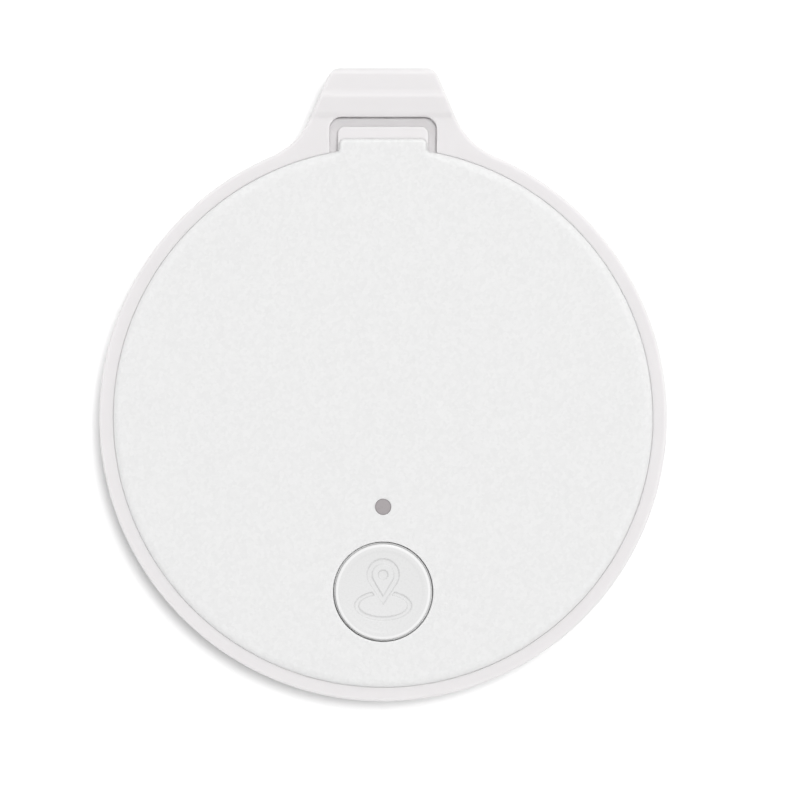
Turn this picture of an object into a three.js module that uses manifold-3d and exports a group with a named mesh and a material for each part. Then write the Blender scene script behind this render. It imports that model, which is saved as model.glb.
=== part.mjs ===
// Round tracker tag: a bowl-shaped case with a key-ring bail, a clip-fit front cover with a pry tongue,
// a press button over a tact switch, a coin cell, a circuit board and a piezo sounder.
// Millimetres. z = 0 is the flat back face, +Z points out of the front face, +Y runs towards the bail.

import * as THREE from "three";
import { mergeVertices } from "three/addons/utils/BufferGeometryUtils.js";
import Module from "manifold-3d";

const wasm = await Module();
wasm.setup();

// ---------------------------------------------------------------- driving dimensions
const BODY_R = 19; // round body
const RIM_Z = 7.05; // flat smooth rim around the front cover
const FACE_Z = 7.35; // textured front face
const WALL = 0.9; // rear wall
const SIDE_WALL = 1.7; // side wall above the curved back edge
const CREST_Z = 7.4; // ridge of the bail's cross bar
const BAIL_TOP_Y = 23.4; // far edge of the bail
const COVER_GAP = 0.1; // slit between the cover and the rim
const REST_GAP = 0.05; // clearance between pieces that sit on each other
const SLIP = 0.1; // radial clearance of pieces that slide

const BACK_FLAT_R = 15.6;
const BACK_CURVE_H = 3.6;
const RIM_ROUND = 0.3;
const BORE_R = BODY_R - SIDE_WALL;
const SEAT_R = 18.05; // bore that takes the cover plate
const LEDGE_Z = 6.15; // ledge under the cover plate
const COVER_R = SEAT_R - COVER_GAP;
const COVER_Z = LEDGE_Z + REST_GAP;
const CLIP_Z = 4.9; // middle of the clip bead and of its groove

const WINDOW_X = 3.58; // half width of the slot around the tongue
const WINDOW_TOP_Y = 20.1;
const WINDOW_CORNER = 0.8;
const NOTCH_Z = LEDGE_Z; // floor of the rim notch under the tongue
const TONGUE_X = 3.05;
const TONGUE_TIP_Y = 19.5;
const TONGUE_TIP_Z = 6.8;
const TAB_X = 2.95; // textured tab at the root of the tongue
const TAB_TOP_Y = 18.43;

const BUTTON = { x: 0, y: -11.65 };
const BUTTON_R = 3.21;
const FLANGE = 0.07; // foot of the button's side
const BUTTON_WELL_R = 3.36;
const BUTTON_WELL_Z = 6.35;
const BUTTON_BORE_R = 2.75;
const COLLAR_R = 3.6;
const COLLAR_Z = 5.5;

const LAMP = { x: 0, y: -5.97 };
const PIPE_R = 0.53;

const BOARD_R = 16.9;
const BOARD_Z = 1.8;
const BOARD_T = 0.6;
const BOARD_TOP = BOARD_Z + BOARD_T;
const PART_Z = BOARD_TOP + 0.02; // soldered parts stand on the board

const CELL = { x: 0, y: 5, r: 10, z: 2.7, t: 3.2 };
const CELL_TOP = CELL.z + CELL.t;
const CELL_WALL = 0.25; // sheet thickness of the cell's can and cap
const CAP_R = 8.9;
const ELECTRODE_R = 8.3;
const ANODE_T = 0.45;
const SEPARATOR_T = 0.08;

const PIEZO = { x: 0, y: 1.5, r: 9 };
const BOSS_R = 1.6;
const PILOT_R = 0.62;
const SCREW_R = 0.55;
const SCREWS = [
  { x: 12.47, y: 7.2, head: 2.94 },
  { x: -12.47, y: 7.2, head: 2.94 },
  { x: -6.2, y: -13.7, head: PART_Z },
];
const PEG = { x: 6.2, y: -13.7, r: 0.6 };

const FINE = 60; // segments of a large circle
const MEDIUM = 32;
const SMALL = 16;

// ---------------------------------------------------------------- geometry helpers
// A closed three.js geometry as a manifold-3d solid.
function solid(geometry) {
  const bare = geometry.clone();
  bare.deleteAttribute("normal");
  bare.deleteAttribute("uv");
  const merged = mergeVertices(bare, 1e-4);
  const index = merged.index.array;
  const kept = [];
  for (let i = 0; i < index.length; i += 3) {
    const [a, b, c] = [index[i], index[i + 1], index[i + 2]];
    if (a !== b && b !== c && c !== a) kept.push(a, b, c);
  }
  return new wasm.Manifold(
    new wasm.Mesh({
      numProp: 3,
      vertProperties: new Float32Array(merged.attributes.position.array),
      triVerts: new Uint32Array(kept),
    }),
  );
}

// A solid turned back into a three.js geometry.
function geometryOf(made) {
  const { numProp, vertProperties, triVerts, numVert } = made.getMesh();
  const position = new Float32Array(numVert * 3);
  for (let i = 0; i < numVert; i++) {
    position.set(vertProperties.subarray(i * numProp, i * numProp + 3), i * 3);
  }
  const geometry = new THREE.BufferGeometry();
  geometry.setAttribute("position", new THREE.BufferAttribute(position, 3));
  geometry.setIndex(new THREE.BufferAttribute(new Uint32Array(triVerts), 1));
  geometry.computeVertexNormals();
  return geometry;
}

// A profile of [radius, height] pairs, listed anticlockwise, turned about the line (x, y).
function turned(profile, segments = FINE, at = { x: 0, y: 0 }) {
  const points = profile.map(([r, z]) => new THREE.Vector2(r, z));
  const geometry = new THREE.LatheGeometry(points, segments);
  geometry.rotateX(Math.PI / 2);
  geometry.translate(at.x, at.y, 0);
  return solid(geometry);
}

function cylinder(r, z0, z1, at = { x: 0, y: 0 }, segments = MEDIUM) {
  return turned(
    [
      [0, z0],
      [r, z0],
      [r, z1],
      [0, z1],
    ],
    segments,
    at,
  );
}

function ring(inner, outer, z0, z1, at = { x: 0, y: 0 }, segments = MEDIUM) {
  return turned(
    [
      [inner, z0],
      [outer, z0],
      [outer, z1],
      [inner, z1],
      [inner, z0],
    ],
    segments,
    at,
  );
}

// A box from its corner ranges.
function block([x0, x1], [y0, y1], [z0, z1]) {
  const geometry = new THREE.BoxGeometry(x1 - x0, y1 - y0, z1 - z0);
  geometry.translate((x0 + x1) / 2, (y0 + y1) / 2, (z0 + z1) / 2);
  return solid(geometry);
}

// A box of size (w, d, h) standing on z0 at (x, y), turned by an angle in degrees.
function chip(x, y, w, d, h, z0 = PART_Z, degrees = 0) {
  const geometry = new THREE.BoxGeometry(w, d, h);
  geometry.rotateZ(THREE.MathUtils.degToRad(degrees));
  geometry.translate(x, y, z0 + h / 2);
  return solid(geometry);
}

// An outline in the XY plane, extruded from z0 to z1.
function prism(outline, z0, z1) {
  const shape = outline instanceof THREE.Shape ? outline : new THREE.Shape(outline);
  const geometry = new THREE.ExtrudeGeometry(shape, {
    depth: z1 - z0,
    bevelEnabled: false,
    curveSegments: 6,
  });
  geometry.translate(0, 0, z0);
  return solid(geometry);
}

// An outline of [y, z] pairs, extruded along X from -half to +half.
function sideProfile(outline, half) {
  const shape = new THREE.Shape(outline.map(([y, z]) => new THREE.Vector2(y, z)));
  const geometry = new THREE.ExtrudeGeometry(shape, { depth: 2 * half, bevelEnabled: false });
  geometry.translate(0, 0, -half);
  const toRow = new THREE.Matrix4().makeBasis(
    new THREE.Vector3(0, 1, 0),
    new THREE.Vector3(0, 0, 1),
    new THREE.Vector3(1, 0, 0),
  );
  geometry.applyMatrix4(toRow);
  return solid(geometry);
}

// A strip from y0 to y1 that is 2 * half wide, with round corners at its far end.
function tongueOutline(half, y0, y1, corner) {
  const shape = new THREE.Shape();
  shape.moveTo(-half, y0);
  shape.lineTo(half, y0);
  shape.lineTo(half, y1 - corner);
  shape.absarc(half - corner, y1 - corner, corner, 0, Math.PI / 2, false);
  shape.lineTo(corner - half, y1);
  shape.absarc(corner - half, y1 - corner, corner, Math.PI / 2, Math.PI, false);
  shape.lineTo(-half, y0);
  return shape;
}

// Points of a quarter ellipse about (cr, cz), from one angle to another.
function arc(cr, cz, ar, az, from, to, steps) {
  return Array.from({ length: steps + 1 }, (_, i) => {
    const t = THREE.MathUtils.degToRad(from + ((to - from) * i) / steps);
    return [cr + ar * Math.cos(t), cz + az * Math.sin(t)];
  });
}

function join(...solids) {
  return solids.reduce((whole, next) => whole.add(next));
}

// ---------------------------------------------------------------- case
// The bail's outline: it leaves the round body on a tangent, narrows and ends in a flat top.
function bailOutline() {
  const rootX = 7.6;
  const rootY = Math.sqrt(BODY_R ** 2 - rootX ** 2);
  const side = new THREE.Path();
  side.moveTo(rootX, rootY);
  side.bezierCurveTo(5.8, rootY + 0.8, 5.15, 19.3, 4.55, 20.8);
  side.lineTo(3.8, 22.55);
  side.quadraticCurveTo(3.42, BAIL_TOP_Y, 2.8, BAIL_TOP_Y);
  const right = [new THREE.Vector2(8.2, 16.6), ...side.getPoints(8)];
  const left = right.map((p) => new THREE.Vector2(-p.x, p.y)).reverse();
  return [...right, ...left];
}

function bail() {
  const section = [
    [16.5, 2.5],
    [18.9, 2.5],
    [20.4, 3],
    [21.4, 3.9],
    [22.6, 4.5],
    [23.2, 5],
    [BAIL_TOP_Y, 5.6],
    [BAIL_TOP_Y, 6.8],
    [23.1, 7.1],
    [21.95, 7.18],
    [21.5, CREST_Z],
    [20.45, 7.22],
    [20.15, RIM_Z],
    [16.5, RIM_Z],
  ];
  return prism(bailOutline(), 0, 9)
    .intersect(sideProfile(section, 9))
    .subtract(prism(windowOutline(), NOTCH_Z, 9))
    .subtract(sideProfile(RING_CHANNEL, 3.2));
}

// The key ring's way through: from the slot, down under the cross bar and out at the back.
const RING_CHANNEL = [
  [BODY_R, NOTCH_Z],
  [19.9, NOTCH_Z],
  [20.45, 5.6],
  [20.8, 4.6],
  [20.85, 2],
  [22.3, 2],
  [21.9, 4.4],
  [21.45, 5.6],
  [20.9, 6.3],
  [WINDOW_TOP_Y, 6.85],
  [BODY_R, 6.85],
];

function windowOutline() {
  return tongueOutline(WINDOW_X, 16.9, WINDOW_TOP_Y, WINDOW_CORNER);
}

function caseOuter() {
  return turned([
    [0, 0],
    [BACK_FLAT_R, 0],
    ...arc(BACK_FLAT_R, BACK_CURVE_H, BODY_R - BACK_FLAT_R, BACK_CURVE_H, -72, 0, 5),
    ...arc(BODY_R - RIM_ROUND, RIM_Z - RIM_ROUND, RIM_ROUND, RIM_ROUND, 0, 90, 3),
    [0, RIM_Z],
  ]);
}

function caseCavity() {
  const grooveR = BORE_R + 0.2;
  return turned([
    [0, WALL],
    [BORE_R - 0.8, WALL],
    [BORE_R, WALL + 0.8],
    [BORE_R, CLIP_Z - 0.25],
    [grooveR, CLIP_Z - 0.15],
    [grooveR, CLIP_Z + 0.15],
    [BORE_R, CLIP_Z + 0.25],
    [BORE_R, LEDGE_Z],
    [SEAT_R, LEDGE_Z],
    [SEAT_R, 9],
    [0, 9],
  ]);
}

function caseShell() {
  const pilotZ = 0.6;
  const sink = WALL - 0.1;
  const bosses = SCREWS.map((at) => cylinder(BOSS_R, sink, BOARD_Z - REST_GAP, at, SMALL));
  const pegBase = cylinder(BOSS_R, sink, BOARD_Z - REST_GAP, PEG, SMALL);
  const peg = cylinder(PEG.r, sink, BOARD_TOP + 0.3, PEG, SMALL);
  const shell = caseOuter()
    .add(bail())
    .subtract(caseCavity())
    .subtract(prism(windowOutline(), NOTCH_Z, 9));
  const built = join(shell, ...bosses, pegBase, peg);
  return SCREWS.reduce(
    (whole, at) => whole.subtract(cylinder(PILOT_R, pilotZ, BOARD_TOP, at, SMALL)),
    built,
  );
}

// ---------------------------------------------------------------- front cover
function coverPlate() {
  const edge = 0.5;
  return turned([
    [0, COVER_Z],
    [COVER_R, COVER_Z],
    ...arc(COVER_R - edge, FACE_Z - 0.35, edge, 0.35, 0, 90, 4),
    [0, FACE_Z],
  ]);
}

function coverSkirt() {
  const outer = BORE_R - SLIP;
  const inner = outer - 1;
  const foot = CLIP_Z - 0.4;
  const grooveR = outer - 0.5;
  return turned([
    [inner, foot],
    [outer - 0.15, foot],
    [outer, foot + 0.15],
    [outer, 5.2],
    [grooveR, 5.2],
    [grooveR, 5.85],
    [outer, 5.85],
    [outer, COVER_Z + 0.1],
    [inner, COVER_Z + 0.1],
    [inner, foot],
  ]);
}

// Four short clip beads around the skirt.
function clipBeads() {
  const root = BORE_R - 0.3;
  const tip = BORE_R - 0.03;
  const bead = turned([
    [root, CLIP_Z - 0.2],
    [tip, CLIP_Z - 0.05],
    [tip, CLIP_Z + 0.05],
    [root, CLIP_Z + 0.2],
    [root, CLIP_Z - 0.2],
  ]);
  const reach = [-20, 20];
  const width = [-2.5, 2.5];
  const cross = block(reach, width, [4, 6]).add(block(width, reach, [4, 6]));
  return bead.intersect(cross);
}

function tongue() {
  const root = 16.6;
  const wedge = [
    [root, COVER_Z],
    [19.2, COVER_Z],
    [TONGUE_TIP_Y, COVER_Z + 0.2],
    [TONGUE_TIP_Y, TONGUE_TIP_Z - 0.1],
    [TONGUE_TIP_Y - 0.1, TONGUE_TIP_Z],
    [18.3, RIM_Z],
    [root, RIM_Z],
  ];
  const smooth = prism(tongueOutline(TONGUE_X, root, TONGUE_TIP_Y, 0.5), 5, 8);
  const tab = prism(tongueOutline(TAB_X, root, TAB_TOP_Y, 0.4), COVER_Z, FACE_Z);
  return smooth.intersect(sideProfile(wedge, 4)).add(tab);
}

function frontCover() {
  const collar = cylinder(COLLAR_R, COLLAR_Z, COVER_Z + 0.1, BUTTON);
  return join(coverPlate(), coverSkirt(), clipBeads(), tongue(), collar)
    .subtract(cylinder(BUTTON_WELL_R, BUTTON_WELL_Z, 9, BUTTON))
    .subtract(cylinder(BUTTON_BORE_R, 5, 9, BUTTON))
    .subtract(cylinder(PIPE_R + 0.03, 5, 9, LAMP, SMALL));
}

function sealRing() {
  const r = 0.26;
  const middle = BORE_R - 0.04 - r;
  return turned(arc(middle, 5.53, r, r, 0, 360, 6));
}

function lightPipe() {
  return turned(
    [
      [0, 3.5],
      [PIPE_R - 0.1, 3.5],
      [PIPE_R, 3.8],
      [PIPE_R, 5.95],
      [0.8, 5.95],
      [0.8, COVER_Z - 0.05],
      [PIPE_R, COVER_Z - 0.05],
      [PIPE_R, FACE_Z - 0.1],
      [PIPE_R - 0.06, FACE_Z - 0.05],
      [0, FACE_Z - 0.05],
    ],
    SMALL,
    LAMP,
  );
}

// ---------------------------------------------------------------- button
function buttonCap() {
  const headZ = 6.8;
  const topZ = 7.38;
  const hookZ = 5.05;
  const skirtR = BUTTON_BORE_R - 0.15;
  const head = turned(
    [
      [0, headZ],
      [BUTTON_R + FLANGE, headZ],
      [BUTTON_R + FLANGE, headZ + 0.12],
      [BUTTON_R, headZ + 0.12],
      [BUTTON_R, topZ - 0.12],
      [BUTTON_R - 0.16, topZ],
      [BUTTON_R - 0.4, topZ],
      [BUTTON_R - 0.9, topZ - 0.08],
      [0, topZ - 0.14],
    ],
    MEDIUM,
    BUTTON,
  );
  const skirt = ring(skirtR - 0.7, skirtR, hookZ, headZ + 0.05, BUTTON, MEDIUM);
  const hooks = ring(skirtR - 0.3, BUTTON_BORE_R + 0.2, hookZ, hookZ + 0.35, BUTTON, MEDIUM);
  const slots = [0, 60, 120].map((degrees) =>
    chip(BUTTON.x, BUTTON.y, 7, 1.1, headZ - hookZ, hookZ - 0.1, degrees),
  );
  const fingers = slots.reduce((whole, slot) => whole.subtract(slot), skirt.add(hooks));
  const post = cylinder(1, 4.37, headZ + 0.05, BUTTON, SMALL);
  return join(head, fingers, post);
}

const SWITCH_W = 4.8;
const SWITCH_H = 1.3;

function switchBody() {
  const half = SWITCH_W / 2;
  const { x, y } = BUTTON;
  const body = chip(x, y, SWITCH_W, SWITCH_W, SWITCH_H);
  const legs = [-1.5, 1.5].map((dy) =>
    block([x - half - 0.7, x + half + 0.7], [y + dy - 0.3, y + dy + 0.3], [PART_Z, PART_Z + 0.2]),
  );
  const well = cylinder(1.5, PART_Z + 0.4, 9, BUTTON, SMALL);
  return join(body, ...legs).subtract(well);
}

function switchCoverPlate() {
  const z0 = PART_Z + SWITCH_H + 0.02;
  return chip(BUTTON.x, BUTTON.y, SWITCH_W - 0.2, SWITCH_W - 0.2, 0.16, z0).subtract(
    cylinder(1.35, z0 - 1, z0 + 1, BUTTON, SMALL),
  );
}

function switchDome() {
  return turned(
    [
      [0, PART_Z + 0.64],
      [1.3, PART_Z + 0.45],
      [1.3, PART_Z + 0.52],
      [0, PART_Z + 0.71],
    ],
    SMALL,
    BUTTON,
  );
}

function switchPlunger() {
  const z0 = PART_Z + 1.08;
  return turned(
    [
      [0, z0],
      [1.1, z0],
      [1.1, 4.2],
      [1, 4.32],
      [0, 4.32],
    ],
    SMALL,
    BUTTON,
  );
}

// ---------------------------------------------------------------- circuit board and its parts
function circuitBoard() {
  const disc = cylinder(BOARD_R, BOARD_Z, BOARD_TOP, undefined, FINE);
  const holes = [
    ...SCREWS.map((at) => cylinder(PILOT_R + 0.1, 0, 9, at, SMALL)),
    cylinder(PEG.r + 0.1, 0, 9, PEG, SMALL),
    cylinder(0.9, 0, 9, { x: BOARD_R, y: 0 }, SMALL),
    cylinder(0.9, 0, 9, { x: -BOARD_R, y: 0 }, SMALL),
  ];
  return holes.reduce((whole, hole) => whole.subtract(hole), disc);
}

// Soldered parts: [name, x, y, width, depth, height, degrees, material].
const SOLDERED = [
  ["ble_chip", -8.5, -8, 5, 5, 0.85, 0, "chipBlack"],
  ["crystal_32mhz", -4.3, -7.4, 2.5, 2, 0.6, 0, "canSteel"],
  ["crystal_32khz", -13, -4.4, 3.2, 1.5, 0.75, 70, "canSteel"],
  ["chip_antenna", 12.2, -8.4, 3.2, 1.6, 1, 56, "ceramicWhite"],
  ["boost_coil", 7.4, -7.8, 3, 3, 1.4, 0, "ferrite"],
  ["driver_transistor", 8, -11.4, 1.3, 2.9, 1, 90, "chipBlack"],
  ["status_led", LAMP.x, LAMP.y, 1.6, 0.8, 0.55, 0, "ledBody"],
  ["inductor_rf", 4.4, -7, 1.2, 0.7, 0.7, 90, "ceramicWhite"],
  ["capacitor_1", -4.2, -10.1, 1.6, 0.8, 0.8, 90, "ceramicTan"],
  ["capacitor_2", -7.6, -11.9, 1.6, 0.8, 0.8, 0, "ceramicTan"],
  ["capacitor_3", 10.8, -5.1, 1.6, 0.8, 0.8, 0, "ceramicTan"],
  ["capacitor_4", 4.4, -9.8, 1.6, 0.8, 0.8, 90, "ceramicTan"],
  ["resistor_1", -12.9, -7.9, 1.6, 0.8, 0.45, 90, "chipBlack"],
  ["resistor_2", 10.6, -10.9, 1.6, 0.8, 0.45, 56, "chipBlack"],
  ["resistor_3", -10.1, -4.3, 1.6, 0.8, 0.45, 0, "chipBlack"],
];

function screw({ x, y, head }) {
  const headR = 1.2;
  const shank = turned(
    [
      [0, 0.7],
      [0.3, 0.7],
      [SCREW_R, 1],
      [SCREW_R, head],
      [headR, head],
      [headR, head + 0.35],
      [headR - 0.25, head + 0.55],
      [0, head + 0.55],
    ],
    SMALL,
    { x, y },
  );
  const cross = chip(x, y, 1.3, 0.3, 1, head + 0.25).add(chip(x, y, 0.3, 1.3, 1, head + 0.25));
  return shank.subtract(cross);
}

// ---------------------------------------------------------------- coin cell and its holder
function cellCan() {
  const lip = CELL.z + 0.15;
  return turned(
    [
      [9.5, lip],
      [CELL.r - 0.25, lip],
      [CELL.r, lip + 0.3],
      [CELL.r, CELL_TOP - 0.25],
      [CELL.r - 0.25, CELL_TOP],
      [0, CELL_TOP],
      [0, CELL_TOP - CELL_WALL],
      [9.5, CELL_TOP - CELL_WALL],
      [9.5, lip],
    ],
    FINE,
    CELL,
  );
}

function cellGasket() {
  return ring(9.05, 9.45, CELL.z + 0.1, CELL_TOP - 0.35, CELL, MEDIUM);
}

// The cap is a cup that opens towards the can.
function cellCap() {
  const inner = CAP_R - CELL_WALL;
  const floor = CELL.z + CELL_WALL;
  return turned(
    [
      [0, CELL.z],
      [CAP_R - 0.3, CELL.z],
      [CAP_R, floor],
      [CAP_R, CELL_TOP - 0.4],
      [inner, CELL_TOP - 0.4],
      [inner, floor + 0.1],
      [inner - 0.15, floor],
      [0, floor],
    ],
    MEDIUM,
    CELL,
  );
}

// The lithium disc, the separator and the pressed cathode are stacked in the cup.
const ANODE_Z = CELL.z + CELL_WALL + 0.02;
const SEPARATOR_Z = ANODE_Z + ANODE_T + 0.02;
const CATHODE_Z = SEPARATOR_Z + SEPARATOR_T + 0.02;

function electrode(z0, z1) {
  return cylinder(ELECTRODE_R, z0, z1, CELL, MEDIUM);
}

// A C-shaped wall around the cell, open towards the button, on a thin base, with two screw ears.
function batteryHolder() {
  const inner = CELL.r + 0.2;
  const outer = CELL.r + 1;
  const baseTop = PART_Z + 0.2;
  const wall = ring(inner, outer, PART_Z, 5.3, CELL, FINE);
  const base = ring(9.2, outer, PART_Z, baseTop, CELL, FINE);
  const mouth = new THREE.Shape([
    new THREE.Vector2(CELL.x, CELL.y),
    new THREE.Vector2(CELL.x - 20, CELL.y - 14),
    new THREE.Vector2(CELL.x + 20, CELL.y - 14),
  ]);
  const ears = SCREWS.slice(0, 2).map((at) => cylinder(1.7, PART_Z, at.head - 0.02, at, SMALL));
  const arms = block([-12.47, 12.47], [6.4, 8], [PART_Z, 2.92]).subtract(
    cylinder(inner, 0, 9, CELL, MEDIUM),
  );
  const bores = SCREWS.slice(0, 2).map((at) => cylinder(PILOT_R + 0.1, 0, 9, at, SMALL));
  const whole = join(wall, base, arms, ...ears).subtract(prism(mouth, 0, 9));
  return bores.reduce((made, bore) => made.subtract(bore), whole);
}

// Sprung plate under the cell: a square foot with two raised fingers.
function negativeContact() {
  const foot = block([-3.2, 3.2], [CELL.y - 1.6, CELL.y + 1.6], [PART_Z, PART_Z + 0.1]);
  const finger = [
    [CELL.y - 4.2, CELL.z - 0.03],
    [CELL.y - 4.2, CELL.z - 0.13],
    [CELL.y - 1.4, PART_Z + 0.02],
    [CELL.y + 1.4, PART_Z + 0.02],
    [CELL.y + 4.2, CELL.z - 0.13],
    [CELL.y + 4.2, CELL.z - 0.03],
    [CELL.y + 1.4, PART_Z + 0.12],
    [CELL.y - 1.4, PART_Z + 0.12],
  ];
  return foot.add(sideProfile(finger, 1));
}

// A leaf on a soldered foot that presses on the cell's side, at an angle about the cell's centre.
function positiveContact(degrees) {
  const near = CELL.r + 0.05;
  const leaf = [
    [near + 0.15, PART_Z],
    [near + 2.2, PART_Z],
    [near + 2.2, PART_Z + 0.15],
    [near + 0.45, PART_Z + 0.15],
    [near + 0.15, 4.3],
    [near + 0.4, 5.1],
    [near + 0.25, 5.15],
    [near, 4.3],
    [near + 0.15, PART_Z + 0.4],
  ];
  const turn = degrees - 90;
  return sideProfile(leaf, 1.1).rotate([0, 0, turn]).translate([CELL.x, CELL.y, 0]);
}

// ---------------------------------------------------------------- sounder
const PIEZO_Z = WALL + 0.02;

function piezoAdhesive() {
  return ring(PIEZO.r - 1.2, PIEZO.r, PIEZO_Z, PIEZO_Z + 0.08, PIEZO, MEDIUM);
}

function piezoDisc() {
  return cylinder(PIEZO.r, PIEZO_Z + 0.1, PIEZO_Z + 0.22, PIEZO, MEDIUM);
}

function piezoCeramic() {
  return cylinder(6.5, PIEZO_Z + 0.24, PIEZO_Z + 0.38, PIEZO, MEDIUM);
}

// A bent strip between the board and the sounder, starting at y0 and landing at height z0.
function piezoContact(y0, z0) {
  const top = BOARD_Z - 0.02;
  const strip = [
    [y0, top - 0.1],
    [y0 + 1.2, top - 0.1],
    [y0 + 2.8, z0],
    [y0 + 3.2, z0],
    [y0 + 3.2, z0 + 0.1],
    [y0 + 2.9, z0 + 0.1],
    [y0 + 1.3, top],
    [y0, top],
  ];
  return sideProfile(strip, 0.6);
}

// ---------------------------------------------------------------- assembly
const MATERIALS = {
  shellWhite: { color: 0xefedee, roughness: 0.4, metalness: 0 },
  faceWhite: { color: 0xf4f4f4, roughness: 0.55, metalness: 0 },
  buttonWhite: { color: 0xf2f2f2, roughness: 0.35, metalness: 0 },
  pipeGrey: { color: 0xb7b3b4, roughness: 0.3, metalness: 0 },
  siliconeGrey: { color: 0x8c9094, roughness: 0.7, metalness: 0 },
  foamGrey: { color: 0x54565a, roughness: 0.95, metalness: 0 },
  boardGreen: { color: 0x1d5a3a, roughness: 0.45, metalness: 0 },
  holderBlack: { color: 0x26272a, roughness: 0.55, metalness: 0 },
  chipBlack: { color: 0x1b1c1e, roughness: 0.6, metalness: 0 },
  ceramicTan: { color: 0xa98a62, roughness: 0.5, metalness: 0 },
  ceramicWhite: { color: 0xe6e3da, roughness: 0.4, metalness: 0 },
  ferrite: { color: 0x3a3b3e, roughness: 0.7, metalness: 0 },
  ledBody: { color: 0xf3efcf, roughness: 0.25, metalness: 0 },
  cellSteel: { color: 0xc7c9cb, roughness: 0.28, metalness: 1 },
  canSteel: { color: 0xcfcfca, roughness: 0.3, metalness: 1 },
  springNickel: { color: 0xd8d2c0, roughness: 0.3, metalness: 1 },
  lithium: { color: 0xbfc2c6, roughness: 0.5, metalness: 1 },
  cathodeBlack: { color: 0x222224, roughness: 0.9, metalness: 0 },
  piezoBrass: { color: 0xc9a24e, roughness: 0.35, metalness: 1 },
  piezoSilver: { color: 0xd9dadb, roughness: 0.4, metalness: 1 },
  gasketNylon: { color: 0xd6d9dc, roughness: 0.5, metalness: 0 },
  screwSteel: { color: 0xa9abad, roughness: 0.35, metalness: 1 },
};

const tag = new THREE.Group();

function place(name, made, material) {
  const mesh = new THREE.Mesh(
    geometryOf(made),
    new THREE.MeshStandardMaterial(MATERIALS[material]),
  );
  mesh.name = name;
  tag.add(mesh);
}

place("rear_case", caseShell(), "shellWhite");
place("front_cover", frontCover(), "faceWhite");
place("seal_ring", sealRing(), "siliconeGrey");
place("light_pipe", lightPipe(), "pipeGrey");
place("battery_pad", ring(4, 7.5, CELL_TOP + 0.03, COVER_Z - 0.05, CELL), "foamGrey");
place("button_cap", buttonCap(), "buttonWhite");
place("switch_body", switchBody(), "chipBlack");
place("switch_cover_plate", switchCoverPlate(), "canSteel");
place("switch_dome", switchDome(), "springNickel");
place("switch_plunger", switchPlunger(), "holderBlack");
place("circuit_board", circuitBoard(), "boardGreen");
for (const [name, x, y, w, d, h, degrees, material] of SOLDERED) {
  place(name, chip(x, y, w, d, h, PART_Z, degrees), material);
}
SCREWS.forEach((at, i) => place(`board_screw_${i + 1}`, screw(at), "screwSteel"));
place("battery_can", cellCan(), "cellSteel");
place("battery_gasket", cellGasket(), "gasketNylon");
place("battery_cap", cellCap(), "cellSteel");
place("battery_anode", electrode(ANODE_Z, ANODE_Z + ANODE_T), "lithium");
place("battery_separator", electrode(SEPARATOR_Z, SEPARATOR_Z + SEPARATOR_T), "gasketNylon");
place("battery_cathode", electrode(CATHODE_Z, CELL_TOP - CELL_WALL - 0.02), "cathodeBlack");
place("battery_holder", batteryHolder(), "holderBlack");
place("battery_negative_contact", negativeContact(), "springNickel");
place("battery_positive_contact_1", positiveContact(232), "springNickel");
place("battery_positive_contact_2", positiveContact(308), "springNickel");
place("piezo_adhesive_ring", piezoAdhesive(), "foamGrey");
place("piezo_brass_disc", piezoDisc(), "piezoBrass");
place("piezo_ceramic", piezoCeramic(), "piezoSilver");
place("piezo_contact_rim", piezoContact(6.4, PIEZO_Z + 0.24), "springNickel");
place("piezo_contact_centre", piezoContact(-1.6, PIEZO_Z + 0.4), "springNickel");

export default tag;
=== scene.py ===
import math

import bmesh
import bpy
import numpy as np
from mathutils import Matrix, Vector
from mathutils.geometry import delaunay_2d_cdt


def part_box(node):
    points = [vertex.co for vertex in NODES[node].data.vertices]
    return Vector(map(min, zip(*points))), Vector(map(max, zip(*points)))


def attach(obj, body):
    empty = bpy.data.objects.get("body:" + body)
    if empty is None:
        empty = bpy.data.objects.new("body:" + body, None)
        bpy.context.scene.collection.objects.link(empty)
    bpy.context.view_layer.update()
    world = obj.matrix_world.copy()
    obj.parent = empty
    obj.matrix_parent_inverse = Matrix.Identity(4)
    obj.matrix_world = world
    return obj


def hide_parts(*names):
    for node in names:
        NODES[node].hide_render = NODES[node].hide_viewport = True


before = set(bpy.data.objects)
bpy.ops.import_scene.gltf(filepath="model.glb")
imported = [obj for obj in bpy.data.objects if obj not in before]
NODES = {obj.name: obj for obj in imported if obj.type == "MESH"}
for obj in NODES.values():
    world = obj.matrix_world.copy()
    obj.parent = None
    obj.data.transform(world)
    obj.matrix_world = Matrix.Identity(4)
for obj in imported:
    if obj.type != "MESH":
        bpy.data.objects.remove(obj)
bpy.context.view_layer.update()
MM = 0.001

# ---------------------------------------------------------------- sizes, in millimetres, from the frame


def corners(node):
    low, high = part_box(node)
    return [v / MM for v in low], [v / MM for v in high]


CASE_HIGH = corners("rear_case")[1]
COVER_HIGH = corners("front_cover")[1]
CAP_LOW, CAP_HIGH = corners("button_cap")
PIPE_LOW, PIPE_HIGH = corners("light_pipe")

BODY_R = CASE_HIGH[0]
BAIL_TOP_Y = CASE_HIGH[1]
CREST_Z = CASE_HIGH[2]
COVER_R = COVER_HIGH[0]
TONGUE_TIP_Y = COVER_HIGH[1]
FACE_Z = COVER_HIGH[2]
BUTTON = (0.0, (CAP_LOW[1] + CAP_HIGH[1]) / 2)
BUTTON_FLANGE = 0.07
BUTTON_R = CAP_HIGH[0] - BUTTON_FLANGE
BUTTON_TOP = CAP_HIGH[2]
LAMP = (0.0, (PIPE_LOW[1] + PIPE_HIGH[1]) / 2)
PIPE_TOP = PIPE_HIGH[2]

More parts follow.
